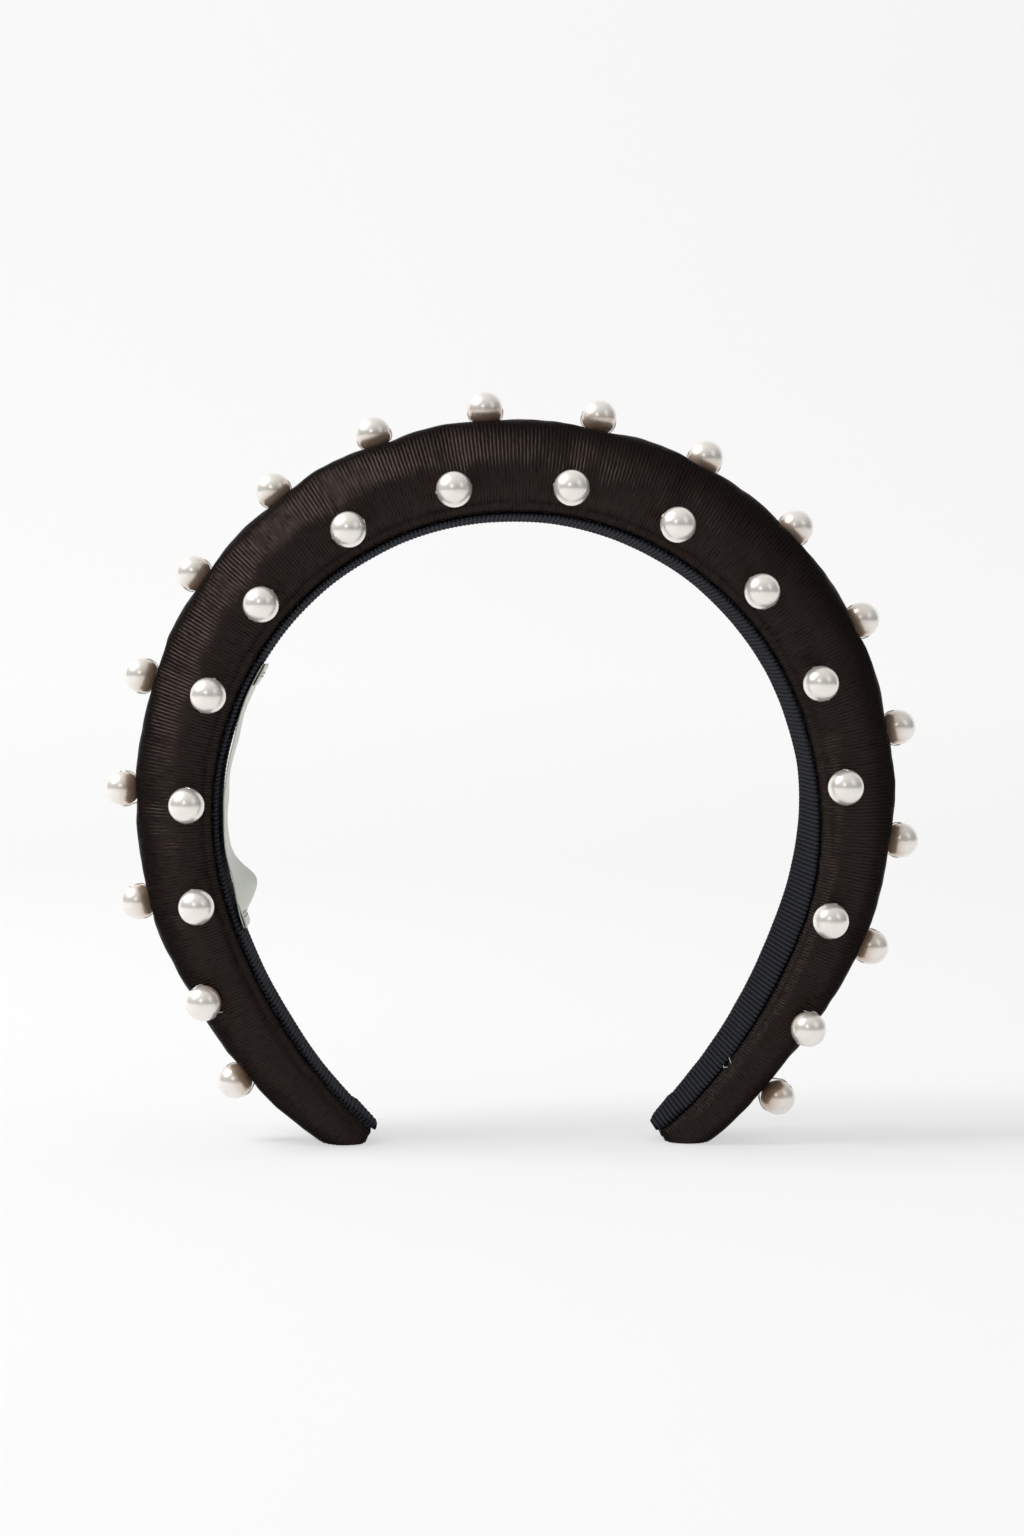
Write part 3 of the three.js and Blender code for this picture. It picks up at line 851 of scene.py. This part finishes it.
def threads():
    """From each end of a pearl's hole, two strands run down its side into the satin."""
    parts = []
    rng = np.random.default_rng(9)
    for bead in beads:
        rows = np.abs(cover_s - bead.s) < 12
        near = cover_points[rows].reshape(-1, 3)
        foot = np.argmin(np.linalg.norm(near - bead.centre, axis=1))
        up = cover_normal[rows].reshape(-1, 3)[foot]
        for end in (-1, 1):
            ahead = bead.tangent * end
            for strand in (-0.16, 0.16):
                side = np.cross(up, bead.tangent) * strand
                hole = bead.centre + ahead * 3.2
                lip = bead.centre + ahead * 4.02 + side
                down = bead.centre + ahead * 3.35 - up * 2.65 + side
                shoulder = lip * 0.45 + down * 0.55 + ahead * 0.35
                goal = near[foot] + ahead * rng.uniform(1.5, 2.1) + side * 2
                knots = np.array([hole, lip, shoulder, down, goal, goal - up * 0.6])
                t = np.linspace(0, len(knots) - 1, 18)
                path = np.stack([np.interp(t, range(len(knots)), knots[:, k]) for k in range(3)], 1)
                path[1:-1] = (path[:-2] + 2 * path[1:-1] + path[2:]) / 4
                parts.append(tube(path, 0.11, 5))
    verts, faces = join(parts)
    made = new_object("pearl_threads", verts, faces, PALE_THREAD)
    bend(made)


def loose_ends():
    """Two short pale thread ends at the hem of the lower right leg."""
    parts = []
    for s, lean, reach in ((168.0, 0.5, 0.5), (170.2, -0.6, 0.3)):
        half = float(section(s)["face"][0]) / 2
        at = np.array([s - 0.3, s, s + lean * 0.5, s + lean])
        across = -half + np.array([0.6, -0.3, -0.5, -0.5])
        height = np.array([-1.3, -1.1, -0.8, -0.8 + reach])
        parts.append(tube(lay(at, across, height), 0.10, 6))
    verts, faces = join(parts)
    made = new_object("loose_thread_ends", verts, faces, PALE_THREAD)
    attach(made, RIGHT)


threads()
loose_ends()

# ---- The blank label ----

LABEL_FROM, LABEL_TO, LABEL_WIDTH = 71.0, 135.0, 16.0
LABEL_REST = -2.45  # height of the lining's ribs, on which it lies
LABEL_THICKNESS = 0.28


def label_layer(name, s, side, height, half_width):
    """A sheet of label cloth over a grid of places s, side and height inside the left leg."""
    point, _, outward = arch(s.ravel())
    verts = point + outward * height.ravel()[:, None]
    verts[:, 1] = (side * half_width).ravel()
    made = new_object(name, verts, grid_faces(*s.shape), LABEL)
    v = side * LABEL_WIDTH / 2 / UV_ACROSS + 0.5
    add_uv(made, (s / UV_ALONG + 0.5).ravel(), v.ravel())
    solid = made.modifiers.new("cloth", "SOLIDIFY")
    solid.thickness = LABEL_THICKNESS * MM
    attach(made, LEFT)
    return made, solid


def label():
    """The label, tacked at both ends and curling off the lining in between, most near its lower end."""
    share, side = np.meshgrid(np.linspace(0, 1, 150), np.linspace(-1, 1, 25), indexing="ij")
    s = -(LABEL_FROM + (LABEL_TO - LABEL_FROM) * share)
    free = smooth(np.clip(np.minimum(share, 1 - share) / 0.08, 0, 1))
    lift = 0.35 * np.sin(math.pi * share)
    for size, middle, width in ((1.9, 0.85, 0.09), (0.35, 0.30, 0.08)):
        lift = lift + size * bump_at(share, middle, width)
    twist = sum(
        size * bump_at(share, middle, width)
        for size, middle, width in ((1.9, 0.86, 0.08), (0.25, 0.52, 0.05), (-0.2, 0.2, 0.07))
    )
    lift = lift + twist * (side + 0.4) + 0.2 * side * np.sin(9 * share)
    height = LABEL_REST - 0.1 - np.maximum(lift * free, 0)
    half_width = LABEL_WIDTH / 2 * (1 - 0.03 * free * np.sin(7 * share))
    made, solid = label_layer("label_strip", s, side, height, half_width)
    solid.offset = 0
    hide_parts("label")
    return made


def label_fold(name, near, far):
    """The label's end, folded under once: a second layer along its edge."""
    share, side = np.meshgrid(np.linspace(0, 1, 14), np.linspace(-1, 1, 15), indexing="ij")
    from_edge = np.minimum(share, 1 - share) * 5
    curl = np.sqrt(1 - (1 - np.minimum(from_edge, 1)) ** 2)
    height = LABEL_REST - LABEL_THICKNESS - 0.25 * curl + 0.03 * np.sin(side * 8)
    made, _ = label_layer(name, -(near + (far - near) * share), side, height, LABEL_WIDTH / 2 + 0.05)
    return made


def tack(name, node, at):
    """A bar tack: close stitches over the label's end, in two runs of thread."""
    parts = []
    stitch, pitch, first, last, lean = 1.5, 1.9, -5.6, 5.6, 0.12
    point, tangent, outward = (v[0] for v in arch(-at))
    across = np.array([0.0, 1.0, 0.0])
    top = point + outward * (LABEL_REST - 0.85)
    for run in (-0.45, 0.45):
        for y in np.arange(first, last, pitch):
            a = top + across * y + tangent * run
            b = top + across * (y + stitch) + tangent * (run + lean)
            middle = (a + b) / 2 - outward * 0.16
            parts.append(tube([a + outward * 0.35, a, middle, b, b + outward * 0.35], 0.14, 5))
    verts, faces = join(parts)
    made = new_object(name, verts, faces, PALE_THREAD)
    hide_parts(node)
    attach(made, LEFT)


strip = label()
upper_fold = label_fold("label_fold_upper", LABEL_FROM - 0.2, LABEL_FROM + 5.5)
lower_fold = label_fold("label_fold_lower", LABEL_TO - 5.5, LABEL_TO + 0.2)
tack("tack_stitches_upper", "label_tack_upper", 73.5)
tack("tack_stitches_lower", "label_tack_lower", 132.5)

# ---- Floor, backdrop and light ----


def floor():
    """A pale sweep: a floor that curves up into a backdrop."""
    near, bend_from, bend_radius, top, half_width, below = -2.5, 0.9, 0.6, 3.0, 3.0, 0.0002
    profile = [(near, 0.0), (bend_from, 0.0)]
    for a in np.linspace(0.1, math.pi / 2, 12):
        profile.append((bend_from + bend_radius * math.sin(a), bend_radius * (1 - math.cos(a))))
    profile.append((bend_from + bend_radius, top))
    verts = [(x, y, z - below) for y, z in profile for x in (-half_width, half_width)]
    faces = [(2 * i, 2 * i + 1, 2 * i + 3, 2 * i + 2) for i in range(len(profile) - 1)]
    look = Look("pale_floor", Roughness=0.9, Specular_IOR_Level=0.0, Base_Color=(0.32, 0.32, 0.32, 1),
                Emission_Color=(1, 1, 1, 1))
    # It glows a little more towards the back and higher up, where the lamps reach it less.
    axes = look.node("ShaderNodeSeparateXYZ", None, Vector=look.place())
    rise = look.math("ADD", look.math("MULTIPLY", axes.outputs[1], 0.15), axes.outputs[2])
    glow = look.node("ShaderNodeMapRange", None, Value=rise)
    glow.inputs["From Max"].default_value = 0.275
    glow.inputs["To Min"].default_value, glow.inputs["To Max"].default_value = 0.562, 0.664
    look.set("Emission Strength", glow.outputs[0])
    new_object("floor", np.array(verts) / MM, faces, look.material)


def area_light(name, location, size, energy):
    """A rectangular lamp in watts, turned towards the middle of the band."""
    target = Vector((0, 0, 0.09))
    data = bpy.data.lights.new(name, "AREA")
    data.shape = "RECTANGLE"
    data.size, data.size_y = size
    data.energy = energy
    made = bpy.data.objects.new(name, data)
    bpy.context.scene.collection.objects.link(made)
    made.location = location
    made.rotation_euler = (target - Vector(location)).to_track_quat("-Z", "Y").to_euler()


floor()
area_light("side", (-1.03, -0.14, 1.20), (0.75, 0.75), 22)
area_light("front", (-0.36, -1.30, 0.60), (0.32, 0.32), 0.9)
area_light("right", (1.1, -0.9, 0.8), (0.5, 0.8), 0.9)

# A sky that brightens upwards, a little warm.
world = bpy.data.worlds.new("studio")
bpy.context.scene.world = world
world.use_nodes = True
nodes, links = world.node_tree.nodes, world.node_tree.links
coord = nodes.new("ShaderNodeTexCoord")
split = nodes.new("ShaderNodeSeparateXYZ")
links.new(coord.outputs["Generated"], split.inputs[0])
ramp = nodes.new("ShaderNodeMapRange")
ramp.inputs["From Min"].default_value, ramp.inputs["From Max"].default_value = -0.1, 0.9
ramp.inputs["To Min"].default_value, ramp.inputs["To Max"].default_value = 0.03, 0.66
links.new(split.outputs[2], ramp.inputs["Value"])
links.new(ramp.outputs[0], nodes["Background"].inputs["Strength"])
nodes["Background"].inputs["Color"].default_value = (1.0, 0.985, 0.97, 1)

bpy.context.scene.view_settings.view_transform = "Standard"
